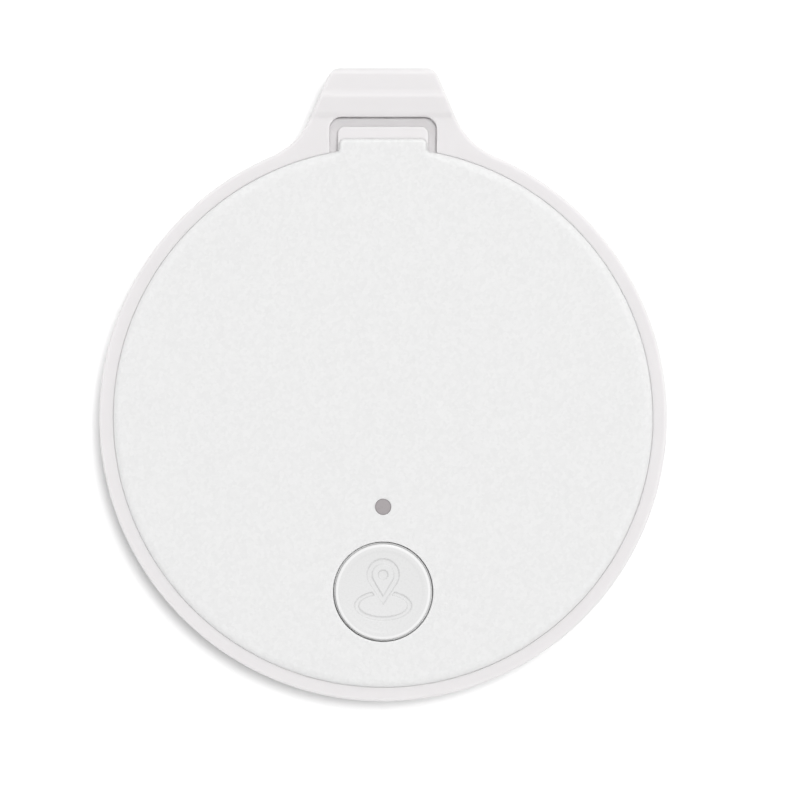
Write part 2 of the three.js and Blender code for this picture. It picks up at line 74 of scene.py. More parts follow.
RIM_Z = FACE_Z - 0.3
SEAT_R = COVER_R + 0.1
LEDGE_Z = 6.15
BORE_R = 17.3
WALL_Z = 0.9
BACK_FLAT_R = 15.6
BACK_CURVE_H = 3.6
RIM_FILLET = 0.22
EDGE_FILLET = 0.03
SLOT_FILLET = 0.13
WINDOW_X = 3.58
WINDOW_TOP_Y = 20.1
WINDOW_CORNER = 0.8
NOTCH_Z = LEDGE_Z
COVER_UNDER_Z = 6.2
COVER_EDGE_R = SEAT_R - 0.012
COVER_ROLL = 0.62
COVER_ROLL_DROP = 0.27
ROLL_END = 52
TONGUE_X = 3.05
TAB_X = 2.95
TAB_TOP_Y = 18.43
WELL_R = 3.35
WELL_Z = 6.35
BUTTON_BORE_R = 2.75
# button radius from which the top bevel ring gets the lighter plastic, a painted highlight
PAINTED_HIGHLIGHT_FROM_R = 2.96
PIPE_R = 0.53
PIPE_GAP = 0.008
ENGRAVING = 0.13
HOLE_ROUND = 0.06
LAMP_ROUND = 0.02
TAB_ROLL = 0.24
TONGUE_SLOPE_Y = 18.3
TONGUE_TIP_Z = 6.8
DISH_R = 2.74
DISH_DEPTH = 0.22
DISH_RISE = 0.18
FLANGE_TOP_Z = 6.92
CAP_UNDER_Z = 6.8
POST_R = 1.0

# ---------------------------------------------------------------- small mesh helpers


def new_object(name, vertices, faces, body, slot, smooth_angle=32):
    """A mesh object from points in millimetres, with edges sharper than smooth_angle kept crisp."""
    mesh = bpy.data.meshes.new(name)
    mesh.from_pydata([tuple(c * MM for c in v) for v in vertices], [], faces)
    obj = bpy.data.objects.new(name, mesh)
    bpy.context.scene.collection.objects.link(obj)
    tidy_mesh(obj, smooth_angle)
    if body:
        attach(obj, body)
    return obj


def tidy_mesh(obj, smooth_angle=32):
    bm = bmesh.new()
    bm.from_mesh(obj.data)
    bmesh.ops.remove_doubles(bm, verts=bm.verts, dist=1e-7)
    bmesh.ops.dissolve_degenerate(bm, edges=bm.edges, dist=1e-8)
    bmesh.ops.recalc_face_normals(bm, faces=bm.faces)
    limit = math.radians(smooth_angle)
    for face in bm.faces:
        face.smooth = True
    for edge in bm.edges:
        edge.smooth = len(edge.link_faces) == 2 and edge.calc_face_angle(0) < limit
    bm.to_mesh(obj.data)
    bm.free()


def loop_strip(rings):
    """Points and quads of closed rings that all have the same number of points."""
    n = len(rings[0])
    vertices = [p for ring in rings for p in ring]
    faces = []
    for r in range(len(rings) - 1):
        for i in range(n):
            j = (i + 1) % n
            faces.append((r * n + i, r * n + j, (r + 1) * n + j, (r + 1) * n + i))
    return vertices, faces


def lathe(profile, centre=(0, 0), segments=192):
    """A profile of (radius, z) turned about a centre. Points on the axis close the ends."""
    rings = []
    for r, z in profile:
        ring = []
        for i in range(segments):
            t = 2 * math.pi * i / segments
            ring.append((centre[0] + r * math.cos(t), centre[1] + r * math.sin(t), z))
        rings.append(ring)
    return loop_strip(rings)


def merge(*parts):
    vertices, faces = [], []
    for points, polygons in parts:
        base = len(vertices)
        vertices += points
        faces += [tuple(base + k for k in polygon) for polygon in polygons]
    return vertices, faces


def arc(cr, cz, ar, az, start, end, steps):
    turn = [math.radians(start + (end - start) * i / steps) for i in range(steps + 1)]
    return [(cr + ar * math.cos(t), cz + az * math.sin(t)) for t in turn]


def resample(points, count):
    """count points evenly spaced by length along an open polyline, both ends included."""
    p = np.array(points, float)
    step = np.hypot(*np.diff(p, axis=0).T)
    at = np.concatenate([[0], np.cumsum(step)])
    want = np.linspace(0, at[-1], count)
    return np.column_stack([np.interp(want, at, p[:, 0]), np.interp(want, at, p[:, 1])])


def bezier(a, b, c, d, steps):
    t = np.linspace(0, 1, steps + 1)[:, None]
    a, b, c, d = (np.array(v, float) for v in (a, b, c, d))
    return (1 - t) ** 3 * a + 3 * (1 - t) ** 2 * t * b + 3 * (1 - t) * t**2 * c + t**3 * d


def inward(outline, distance):
    """A closed anticlockwise outline moved to its left, which is inwards, by distance."""
    ahead = np.roll(outline, -1, 0) - outline
    behind = outline - np.roll(outline, 1, 0)
    ahead /= np.maximum(np.hypot(*ahead.T)[:, None], 1e-9)
    behind /= np.maximum(np.hypot(*behind.T)[:, None], 1e-9)
    along = ahead + behind
    along /= np.maximum(np.hypot(*along.T)[:, None], 1e-9)
    return outline + distance * np.column_stack([-along[:, 1], along[:, 0]])


def smoothstep(low, high, x):
    t = np.clip((x - low) / (high - low), 0, 1)
    return t * t * (3 - 2 * t)


def cut(obj, vertices, faces):
    """Takes a closed solid out of obj and leaves the result as obj's own mesh."""
    tool = new_object("cutter", vertices, faces, None, None)
    step = obj.modifiers.new("cut", "BOOLEAN")
    step.operation = "DIFFERENCE"
    step.solver = "EXACT"
    step.object = tool
    evaluated = obj.evaluated_get(bpy.context.evaluated_depsgraph_get())
    result = bpy.data.meshes.new_from_object(evaluated)
    obj.modifiers.remove(step)
    obj.data = result
    bpy.data.objects.remove(tool)


def prism(outline, z0, z1):
    n = len(outline)
    vertices = [(x, y, z0) for x, y in outline] + [(x, y, z1) for x, y in outline]
    faces = [tuple(reversed(range(n))), tuple(range(n, 2 * n))]
    faces += [(i, (i + 1) % n, n + (i + 1) % n, n + i) for i in range(n)]
    return vertices, faces


def side_prism(outline, half):
    """An outline of (y, z) pairs, extruded along X from -half to +half."""
    vertices, faces = prism(outline, -half, half)
    return [(x, y, z) for y, z, x in vertices], faces


# ---------------------------------------------------------------- outlines in plan


def window_right(top_steps):
    """Right half of the case's inner edge beside the tongue: up the notch and round its corner."""
    root_y = math.sqrt(SEAT_R**2 - WINDOW_X**2)
    side = [(WINDOW_X, root_y), (WINDOW_X, WINDOW_TOP_Y - WINDOW_CORNER)]
    corner = arc(
        WINDOW_X - WINDOW_CORNER, WINDOW_TOP_Y - WINDOW_CORNER, WINDOW_CORNER, WINDOW_CORNER, 0, 90, 12
    )
    return resample(side, top_steps), np.array(corner)


ROOT_X = 7.6
BAIL_HALF = 2.8
FLARE_POINTS = 90
BAR_POINTS = 48
RIM_POINTS = 260


def case_outlines():
    """Outer and inner edge of the case's top face, anticlockwise, matched point by point."""
    root_y = math.sqrt(BODY_R**2 - ROOT_X**2)
    flare = bezier((ROOT_X, root_y), (5.8, root_y + 0.8), (5.15, 19.3), (4.55, 20.8), 40)
    shoulder = np.array([(4.55, 20.8), (3.8, 22.55)])
    corner = bezier((3.8, 22.55), (3.55, 23.13), (3.35, BAIL_TOP_Y), (BAIL_HALF, BAIL_TOP_Y), 16)
    outer_side = resample(np.vstack([flare, shoulder[1:], corner[1:]]), FLARE_POINTS)

    start = math.atan2(root_y, ROOT_X)
    notch, window_corner = window_right(12)
    seat_end = math.atan2(notch[0][1], notch[0][0])
    angles = np.linspace(start, seat_end, 14)
    seat = np.column_stack([SEAT_R * np.cos(angles), SEAT_R * np.sin(angles)])
    inner_side = resample(np.vstack([seat, notch[1:], window_corner[1:]]), FLARE_POINTS)

    across = np.linspace(1, -1, BAR_POINTS + 2)[1:-1, None]
    flat = np.array([[1.0, 0.0]])
    outer_bar = across * BAIL_HALF * flat + np.array([[0, BAIL_TOP_Y]])
    inner_bar = across * (WINDOW_X - WINDOW_CORNER) * flat + np.array([[0, WINDOW_TOP_Y]])

    left = np.array([-1.0, 1.0])
    sweep = np.linspace(math.pi - start, 2 * math.pi + start, RIM_POINTS + 2)[1:-1]
    circle = np.column_stack([np.cos(sweep), np.sin(sweep)])
    outer = np.vstack([outer_side, outer_bar, outer_side[::-1] * left, circle * BODY_R])
    inner = np.vstack([inner_side, inner_bar, inner_side[::-1] * left, circle * SEAT_R])
    return outer, inner


# ---------------------------------------------------------------- rear case

# Sections along Y through the bail, as (y, z): its top, its underside and the cord's passage under the bar.
ROLL = [(0, RIM_Z), (20.12, RIM_Z), (20.4, 7.19), (21.5, CREST_Z - 0.02), (21.93, 7.17), (23.1, 7.12),
        (BAIL_TOP_Y, 6.75), (30, 6.75)]
UNDERSIDE = [(0, 2.5), (18.9, 2.5), (20.4, 3), (21.4, 3.9), (22.6, 4.5), (23.2, 5),
             (BAIL_TOP_Y, 5.6), (30, 5.6)]
RING_CHANNEL = [(BODY_R, NOTCH_Z), (20.05, NOTCH_Z), (20.45, 5.6), (20.8, 4.6), (20.85, 2), (22.3, 2),
                (21.9, 4.4), (21.45, 5.6), (20.9, 6.3), (WINDOW_TOP_Y, 6.85), (BODY_R, 6.85)]
RING_CHANNEL_HALF = 3.2


def soft_line(points, y, spread):
    """Height on a polyline at y, averaged over a short window so that its corners are rounded."""
    known_y, known_z = zip(*points)
    offsets = np.linspace(-spread, spread, 9)
    weight = 1 - (np.abs(offsets) / spread) * 0.8
    return sum(w * np.interp(y + o, known_y, known_z) for w, o in zip(weight, offsets)) / weight.sum()


def top_height(xy):
    return soft_line(ROLL, xy[:, 1], 0.13)


def fillet(distance, radius):
    """How far a surface drops at a distance in from an edge that is rounded with a radius."""
    d = np.clip(distance, 0, radius)
    return radius - np.sqrt(np.maximum(radius**2 - (radius - d) ** 2, 0))


def slot_fillet(inner):
    """Round of the case's inner edge: small around the cover, larger beside and above the tongue."""
    share = smoothstep(17.9, 18.8, inner[:, 1]) * (np.abs(inner[:, 0]) < WINDOW_X + 0.1)
    return EDGE_FILLET + (SLOT_FILLET - EDGE_FILLET) * share


def with_z(xy, z):
    z = np.broadcast_to(z, (len(xy),))
    return [(float(x), float(y), float(h)) for (x, y), h in zip(xy, z)]


def case_shell():
    outer, inner = case_outlines()
    rings = []

    # the back: flat, then the curve up to the widest line of the round body
    direction = outer / np.hypot(*outer.T)[:, None]
    for r in (0.0, 6.0, 12.0, BACK_FLAT_R - 0.3):
        rings.append(with_z(direction * r, 0))
    for r, z in arc(BACK_FLAT_R, BACK_CURVE_H, BODY_R - BACK_FLAT_R, BACK_CURVE_H, -90, -8, 26):
        under = soft_line(UNDERSIDE, outer[:, 1], 0.3)
        rings.append(with_z(direction * r, np.minimum(z, under)))

    # out along the underside of the bail to its edge, then up the side
    reach = outer - direction * BODY_R
    for share in np.linspace(0, 1, 30):
        xy = direction * BODY_R + reach * share
        low = np.minimum(soft_line(UNDERSIDE, xy[:, 1], 0.3), soft_line(UNDERSIDE, outer[:, 1], 0.3))
        edge = np.clip(np.hypot(*(outer - xy).T), 0, 0.3)
        lift = fillet(edge, 0.3) * np.clip(np.hypot(*reach.T) / 0.6, 0, 1)
        rings.append(with_z(xy, np.maximum(low, BACK_CURVE_H * (np.hypot(*reach.T) < 1e-6)) + lift))
    side_top = top_height(outer) - RIM_FILLET
    side_low = np.array([p[2] for p in rings[-1]])
    for share in (0.25, 0.5, 0.75):
        rings.append(with_z(outer, side_low + (side_top - side_low) * share))

    # the rounded outer edge, across the top face, and the small round at the inner edge
    for angle in np.linspace(0, 90, 9):
        d = RIM_FILLET * (1 - math.cos(math.radians(angle)))
        xy = inward(outer, d)
        rings.append(with_z(xy, top_height(xy) - fillet(d, RIM_FILLET)))
    outer_top = inward(outer, RIM_FILLET)
    edge = slot_fillet(inner)
    inner_top = inward(inner, -edge[:, None])
    for share in np.linspace(0, 1, 44)[1:-1]:
        xy = outer_top + (inner_top - outer_top) * share
        rings.append(with_z(xy, top_height(xy)))
    for angle in np.linspace(90, 0, 7):
        d = edge * (1 - math.cos(math.radians(angle)))
        xy = inward(inner, -d[:, None])
        rings.append(with_z(xy, top_height(xy) - fillet(d, edge)))

    # down to the ledge and across it, which the cavity then opens
    rings.append(with_z(inner, LEDGE_Z))
    vertices, faces = loop_strip(rings)
    n = len(outer)
    faces.append(tuple(range((len(rings) - 1) * n, len(rings) * n)))
    return vertices, faces


def rear_case():
    obj = new_object("rear_case_shell", *case_shell(), "case_body", "shell_white")
    groove = BORE_R + 0.2
    cut(obj, *lathe(
        [(0, WALL_Z), (BORE_R - 0.8, WALL_Z)]
        + arc(BORE_R - 0.8, WALL_Z + 0.8, 0.8, 0.8, -80, 0, 6)
        + [(BORE_R, 4.65), (groove, 4.75), (groove, 5.05), (BORE_R, 5.15), (BORE_R, 9), (0, 9)]
    ))
    notch = [(-WINDOW_X + 0.02, 16), (WINDOW_X - 0.02, 16)] + [
        tuple(p) for p in arc(WINDOW_X - WINDOW_CORNER - 0.02, WINDOW_TOP_Y - WINDOW_CORNER - 0.02,
                              WINDOW_CORNER, WINDOW_CORNER, 0, 90, 12)
    ]
    notch += [(-x, y) for x, y in reversed(notch[2:])]
    cut(obj, *prism(notch, NOTCH_Z, NOTCH_Z + 0.4))
    cut(obj, *side_prism(RING_CHANNEL, RING_CHANNEL_HALF))
    tidy_mesh(obj)
    add_bosses()
    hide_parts("rear_case")
    return obj


def add_bosses():
    """Screw bosses and the locating peg, standing on the floor of the case."""
    spots = []
    for k in (1, 2, 3):
        low, high = corners(f"board_screw_{k}")
        spots.append(((low[0] + high[0]) / 2, (low[1] + high[1]) / 2))
    board_low = corners("circuit_board")[0][2]
    board_top = corners("circuit_board")[1][2]
    parts = []
    for x, y in spots:
        parts.append(lathe([(0.62, WALL_Z - 0.1), (1.75, WALL_Z - 0.1), (1.6, WALL_Z + 0.25),
                            (1.6, board_low - 0.09), (1.54, board_low - 0.05), (0.62, board_low - 0.05),
                            (0.62, WALL_Z - 0.1)], (x, y), 40))
    peg = (-spots[2][0], spots[2][1])
    parts.append(lathe([(0, WALL_Z - 0.1), (1.75, WALL_Z - 0.1), (1.6, WALL_Z + 0.25),
                        (1.6, board_low - 0.05), (0.6, board_low - 0.05), (0.6, board_top + 0.2),
                        (0.5, board_top + 0.3), (0, board_top + 0.3)], peg, 40))
    posts = new_object("rear_case_posts", *merge(*parts), "case_body", "shell_white")
    posts.data.materials.append(MATERIAL["shell"])


# ---------------------------------------------------------------- materials


def graph(name):
    material = bpy.data.materials.new(name)
    material.use_nodes = True
    nodes = material.node_tree.nodes
    shader = nodes["Principled BSDF"]
    place = nodes.new("ShaderNodeTexCoord").outputs["Object"]
    return material, nodes, material.node_tree.links, shader, place


def noise(nodes, links, place, size, detail=3.0, rough=0.5):
    """Noise with features about size millimetres across."""
    tex = nodes.new("ShaderNodeTexNoise")
    tex.inputs["Scale"].default_value = 1 / (size * MM)
    tex.inputs["Detail"].default_value = detail
    tex.inputs["Roughness"].default_value = rough
    links.new(place, tex.inputs["Vector"])
    return tex.outputs["Fac"]


def ramp(nodes, links, source, stops):
    node = nodes.new("ShaderNodeValToRGB")
    while len(node.color_ramp.elements) < len(stops):
        node.color_ramp.elements.new(0.5)
    for element, (position, colour) in zip(node.color_ramp.elements, stops):
        element.position = position
        element.color = (*colour, 1)
    links.new(source, node.inputs["Fac"])
    return node.outputs["Color"]


def bump(nodes, links, source, height, strength=1.0, under=None):
    node = nodes.new("ShaderNodeBump")
    node.inputs["Distance"].default_value = height * MM
    node.inputs["Strength"].default_value = strength
    links.new(source, node.inputs["Height"])
    if under is not None:
        links.new(under, node.inputs["Normal"])
    return node.outputs["Normal"]


def shade(colour, share):
    return tuple(c * share for c in colour)


def scatter(shader, depth):
    """Light that enters white plastic and comes out again up to about depth millimetres away."""
    shader.inputs["Subsurface Weight"].default_value = 1
    shader.inputs["Subsurface Radius"].default_value = (1, 1, 1)
    shader.inputs["Subsurface Scale"].default_value = depth * MM


def plastic(name, colour, grain=0.3, grain_depth=0.002, rough=(0.35, 0.45), spread=0.012, specular=0.4,
            glow=0):
    """Moulded plastic: slight mottling, a fine surface grain and an uneven gloss."""
    material, nodes, links, shader, place = graph(name)
    wide = noise(nodes, links, place, 4.0, 2)
    fine = noise(nodes, links, place, grain, 4, 0.6)
    tone_and_painted_glints = ramp(nodes, links, wide, [(0.3, shade(colour, 1 - spread)), (0.7, shade(colour, 1 + spread))])
    links.new(tone_and_painted_glints, shader.inputs["Base Color"])
    gloss = ramp(nodes, links, fine, [(0.35, (rough[0],) * 3), (0.65, (rough[1],) * 3)])
    links.new(gloss, shader.inputs["Roughness"])
    links.new(bump(nodes, links, fine, grain_depth), shader.inputs["Normal"])
    shader.inputs["Specular IOR Level"].default_value = specular
    if glow:
        scatter(shader, glow)
    return material


def sparkle(name, colour):
    """The front face: spark-eroded plastic; each tiny cell's colour is painted a little lighter or darker,
    painted glints and shade for how its facet catches the light.
    """
    material, nodes, links, shader, place = graph(name)
    cells = nodes.new("ShaderNodeTexVoronoi")
    cells.inputs["Scale"].default_value = 1 / (0.2 * MM)
    links.new(place, cells.inputs["Vector"])
    grey = nodes.new("ShaderNodeRGBToBW")
    links.new(cells.outputs["Color"], grey.inputs["Color"])
    # painted glints and shade: each cell's colour is lighter or darker as its facet would catch the light,
    # and glossier where lighter
    tone_and_painted_glints = ramp(nodes, links, grey.outputs["Val"],
                [(0.15, shade(colour, 0.978)), (0.5, colour), (0.85, shade(colour, 1.022))])
    links.new(tone_and_painted_glints, shader.inputs["Base Color"])
    gloss = ramp(nodes, links, grey.outputs["Val"], [(0.2, (0.62,) * 3), (0.8, (0.42,) * 3)])
    links.new(gloss, shader.inputs["Roughness"])
    fine = noise(nodes, links, place, 0.16, 3, 0.6)
    links.new(bump(nodes, links, fine, 0.014), shader.inputs["Normal"])
    shader.inputs["Specular IOR Level"].default_value = 0.2
    scatter(shader, SCATTER_DEPTH)
    return material


def metal(name, colour, grain=0.08, rough=(0.22, 0.4), stretch=(1, 1, 1), depth=0.001):
    """Metal with a directional grain when stretch is uneven."""
    material, nodes, links, shader, place = graph(name)
    mapping = nodes.new("ShaderNodeMapping")
    mapping.inputs["Scale"].default_value = stretch
    links.new(place, mapping.inputs["Vector"])
    fine = noise(nodes, links, mapping.outputs["Vector"], grain, 4, 0.6)
    wide = noise(nodes, links, place, 3.0, 2)
    tone_and_painted_glints = ramp(nodes, links, wide, [(0.3, shade(colour, 0.92)), (0.7, shade(colour, 1.05))])
    links.new(tone_and_painted_glints, shader.inputs["Base Color"])
    gloss = ramp(nodes, links, fine, [(0.3, (rough[0],) * 3), (0.7, (rough[1],) * 3)])
    links.new(gloss, shader.inputs["Roughness"])
    links.new(bump(nodes, links, fine, depth), shader.inputs["Normal"])
    shader.inputs["Metallic"].default_value = 1
    return material


def board_laminate():
    """Green solder mask over a glass weave."""
    material, nodes, links, shader, place = graph("board_laminate")
    weave = []
    for direction in ("X", "Y"):
        wave = nodes.new("ShaderNodeTexWave")
        wave.bands_direction = direction
        wave.inputs["Scale"].default_value = 1 / (2.2 * MM)
        wave.inputs["Distortion"].default_value = 0.6
        links.new(place, wave.inputs["Vector"])
        weave.append(wave.outputs["Fac"])
    crossed = nodes.new("ShaderNodeMath")
    crossed.operation = "MAXIMUM"
    links.new(weave[0], crossed.inputs[0])
    links.new(weave[1], crossed.inputs[1])
    tone_and_painted_glints = ramp(nodes, links, crossed.outputs[0], [(0.2, (0.012, 0.085, 0.04)), (0.9, (0.02, 0.14, 0.065))])
    links.new(tone_and_painted_glints, shader.inputs["Base Color"])
    fine = noise(nodes, links, place, 0.3)
    links.new(ramp(nodes, links, fine, [(0.3, (0.28,) * 3), (0.7, (0.42,) * 3)]), shader.inputs["Roughness"])
    links.new(bump(nodes, links, crossed.outputs[0], 0.006), shader.inputs["Normal"])
    return material


SCATTER_DEPTH = 0.3
SHELL_COLOUR = (0.722, 0.708, 0.713)
FACE_COLOUR = (0.727, 0.727, 0.727)
MATERIAL = {
    "shell": plastic("shell_plastic", SHELL_COLOUR, 0.25, 0.0012, (0.3, 0.38), 0.006, 0.5, SCATTER_DEPTH),
    "tongue": plastic("tongue_plastic", SHELL_COLOUR, 0.25, 0.0012, (0.3, 0.38), 0.006, 0.5, SCATTER_DEPTH),
    "face": sparkle("face_plastic", FACE_COLOUR),
    "button": plastic("button_plastic", (0.665, 0.665, 0.665), 0.25, 0.0008, (0.24, 0.32), 0.006, 0.6),
    # painted highlight: a lighter copy of the button plastic for the button's top bevel ring
    "button_bevel_painted_highlight": plastic("button_bevel_painted_highlight_plastic", (0.76, 0.76, 0.76), 0.25, 0.0004, (0.16, 0.22), 0.004, 0.8),
    "pipe": plastic("pipe_plastic", (0.335, 0.312, 0.318), 0.3, 0.001, (0.25, 0.35)),
    "silicone": plastic("silicone", (0.25, 0.27, 0.29), 0.2, 0.003, (0.6, 0.75), 0.05),
    "foam": plastic("foam", (0.07, 0.07, 0.075), 0.12, 0.02, (0.85, 0.95), 0.2, 0.1),
    "holder": plastic("holder_plastic", (0.03, 0.03, 0.033), 0.2, 0.004, (0.45, 0.6), 0.1),
    "chip": plastic("chip_epoxy", (0.018, 0.018, 0.02), 0.06, 0.003, (0.5, 0.65), 0.15),
    "tan": plastic("capacitor_ceramic", (0.36, 0.24, 0.12), 0.05, 0.001, (0.4, 0.55), 0.1),
    "ceramic": plastic("antenna_ceramic", (0.74, 0.72, 0.65), 0.06, 0.001, (0.35, 0.5), 0.04),
    "ferrite": plastic("ferrite", (0.045, 0.045, 0.05), 0.08, 0.006, (0.55, 0.75), 0.2),
    "led": plastic("led_phosphor", (0.85, 0.72, 0.2), 0.05, 0.001, (0.2, 0.3), 0.06),
    "nylon": plastic("nylon", (0.7, 0.72, 0.73), 0.1, 0.001, (0.4, 0.55), 0.03),
    "cathode": plastic("cathode_powder", (0.02, 0.02, 0.022), 0.05, 0.01, (0.85, 0.95), 0.2, 0.1),
    "cell": metal("cell_steel", (0.6, 0.61, 0.62), 0.06, (0.2, 0.34), (1, 0.08, 1)),
    "can": metal("can_steel", (0.63, 0.63, 0.61), 0.06, (0.24, 0.4)),
    "spring": metal("spring_nickel", (0.62, 0.58, 0.5), 0.05, (0.22, 0.35)),
    "brass": metal("piezo_brass", (0.62, 0.42, 0.15), 0.06, (0.25, 0.4), (0.1, 1, 1)),
    "silver": metal("piezo_silver", (0.66, 0.66, 0.65), 0.05, (0.45, 0.6)),
    "lithium": metal("lithium", (0.4, 0.41, 0.43), 0.2, (0.5, 0.7)),
    "screw": metal("screw_steel", (0.42, 0.43, 0.44), 0.05, (0.25, 0.4)),
    "solder": metal("solder", (0.62, 0.62, 0.6), 0.1, (0.2, 0.35)),
    "gold": metal("pad_gold", (0.75, 0.55, 0.25), 0.08, (0.25, 0.4)),
    "board": board_laminate(),
}

# ---------------------------------------------------------------- front cover


def cover_outline():
    """Edge of the textured face, anticlockwise, and how wide its rolled edge is at each point."""
    top_y = TAB_TOP_Y + 0.22
    corner = 0.4
    root = 0.3
    root_y = math.sqrt(COVER_EDGE_R**2 - (TAB_X + root) ** 2)
    angle = math.atan2(root_y, TAB_X + root)
    turn = bezier((TAB_X + root, root_y), (TAB_X + root / 3, root_y + 0.04), (TAB_X, root_y + root / 3),
                  (TAB_X, root_y + root), 8)
    side = resample([(TAB_X, root_y + root), (TAB_X, top_y - corner)], 5)[1:-1]
    bend = np.array(arc(TAB_X - corner, top_y - corner, corner, corner, 0, 90, 8))
    right = np.vstack([turn, side, bend])
    across = np.column_stack([np.linspace(TAB_X - corner, corner - TAB_X, 26)[1:-1], np.full(24, top_y)])
    left = np.array([-1.0, 1.0])
    sweep = np.linspace(math.pi - angle, 2 * math.pi + angle, 302)[1:-1]
    circle = np.column_stack([np.cos(sweep), np.sin(sweep)]) * COVER_EDGE_R
    outline = np.vstack([right, across, right[::-1] * left, circle])
    on_tab = smoothstep(-0.5, 0.35, outline[:, 1] - root_y) * (np.abs(outline[:, 0]) < TAB_X + 1.2)
    return outline, COVER_ROLL + (TAB_ROLL - COVER_ROLL) * on_tab


def round_hole(centre, radius, count):
    t = np.linspace(0, 2 * math.pi, count, endpoint=False)
    return np.column_stack([centre[0] + radius * np.cos(t), centre[1] + radius * np.sin(t)])


def flat_between(outline, holes, z, upward=True):
    """A flat face inside an outline with round holes left out, as triangles."""
    points, edges = [], []
    for loop in (outline, *holes):
        start = len(points)
        points += [Vector((float(x), float(y))) for x, y in loop]
        edges += [(start + i, start + (i + 1) % len(loop)) for i in range(len(loop))]
    made, _, triangles, _, _, _ = delaunay_2d_cdt(points, edges, [], 1, 1e-7)
    kept = []
    for triangle in triangles:
        middle = sum((made[k] for k in triangle), Vector((0, 0))) / len(triangle)
        inside_hole = any(np.hypot(*(np.array(middle) - h.mean(0))) < np.hypot(*(h[0] - h.mean(0))) - 1e-3
                          for h in holes)
        if not inside_hole:
            kept.append(tuple(triangle) if upward else tuple(reversed(triangle)))
    return [(p.x, p.y, z) for p in made], kept


def hole_wall(centre, radius, count, levels, edge=HOLE_ROUND):
    """Rings of a round opening, from the flat face down, with a small round at its mouth."""
    rings = [with_z(round_hole(centre, radius + edge + 0.05, count), FACE_Z)]
    for angle in np.linspace(90, 0, 5):
        d = edge * (1 - math.cos(math.radians(angle)))
        rings.append(with_z(round_hole(centre, radius + d, count), FACE_Z - fillet(d, edge)))
    rings += [with_z(round_hole(centre, r, count), z) for r, z in levels]
    return rings


def front_cover():
    outline, roll = cover_outline()
    rings = [with_z(outline, COVER_UNDER_Z), with_z(outline, FACE_Z - COVER_ROLL_DROP - 0.02)]
    end = math.radians(ROLL_END)
    for t in np.linspace(end, 0, 12):
        xy = inward(outline, (roll * (1 - math.sin(t) / math.sin(end)))[:, None])
        rings.append(with_z(xy, FACE_Z - COVER_ROLL_DROP * (1 - math.cos(t)) / (1 - math.cos(end))))
    inner_edge = inward(outline, (roll + 0.06)[:, None])
    rings.append(with_z(inner_edge, FACE_Z))

    # the underside: in from the edge, round the skirt with its seal groove, to the flat inside
    direction = outline / np.hypot(*outline.T)[:, None]
    skirt = BORE_R - 0.1
    below = [(skirt, COVER_UNDER_Z), (skirt, 5.85), (skirt - 0.5, 5.85), (skirt - 0.5, 5.2), (skirt, 5.2),
             (skirt, 4.68), (skirt - 0.05, 4.56), (skirt - 0.17, 4.5), (skirt - 0.85, 4.5), (skirt - 1, 4.62),
             (skirt - 1, COVER_UNDER_Z)]
    under = [with_z(outline, COVER_UNDER_Z)] + [with_z(direction * r, z) for r, z in below]

    button_levels = [(WELL_R, WELL_Z), (BUTTON_BORE_R, WELL_Z), (BUTTON_BORE_R, 5.5), (3.52, 5.5),
                     (3.6, 5.58), (3.6, COVER_UNDER_Z)]
    lamp_levels = [(PIPE_R + PIPE_GAP, COVER_UNDER_Z)]
    button_wall = hole_wall(BUTTON, WELL_R, 128, button_levels)
    lamp_wall = hole_wall(LAMP, PIPE_R + PIPE_GAP, 48, lamp_levels, LAMP_ROUND)
    holes_top = [np.array(w[0])[:, :2] for w in (button_wall, lamp_wall)]
    holes_under = [np.array(w[-1])[:, :2] for w in (button_wall, lamp_wall)]
    parts = merge(
        loop_strip(rings),
        loop_strip(under),
        loop_strip(button_wall),
        loop_strip(lamp_wall),
        flat_between(inner_edge, holes_top, FACE_Z),
        flat_between(direction * (skirt - 1), holes_under, COVER_UNDER_Z, False),
    )
    obj = new_object("front_cover_face", *parts, "cover", "face_white")
    obj.data.materials.append(MATERIAL["face"])
    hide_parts("front_cover")
    return obj


def snap_beads():
    """Four short beads low on the skirt that click into the groove of the case."""
    root, tip, middle = BORE_R - 0.35, BORE_R - 0.03, 4.9
    section = [(root, middle - 0.22), (tip - 0.04, middle - 0.08), (tip, middle), (tip - 0.04, middle + 0.08),
               (root, middle + 0.22)]
    parts = []
    for quarter in range(4):
        rows = []
        for step in range(13):
            t = math.radians(90 * quarter - 8 + 16 * step / 12)
            rows.append([(r * math.cos(t), r * math.sin(t), z) for r, z in section])
        vertices, faces = loop_strip(rows)
        faces.append(tuple(reversed(range(len(section)))))
        faces.append(tuple(range(12 * len(section), 13 * len(section))))
        parts.append((vertices, faces))
    obj = new_object("front_cover_snap_beads", *merge(*parts), "cover", "face_white")
    obj.data.materials.append(MATERIAL["tongue"])


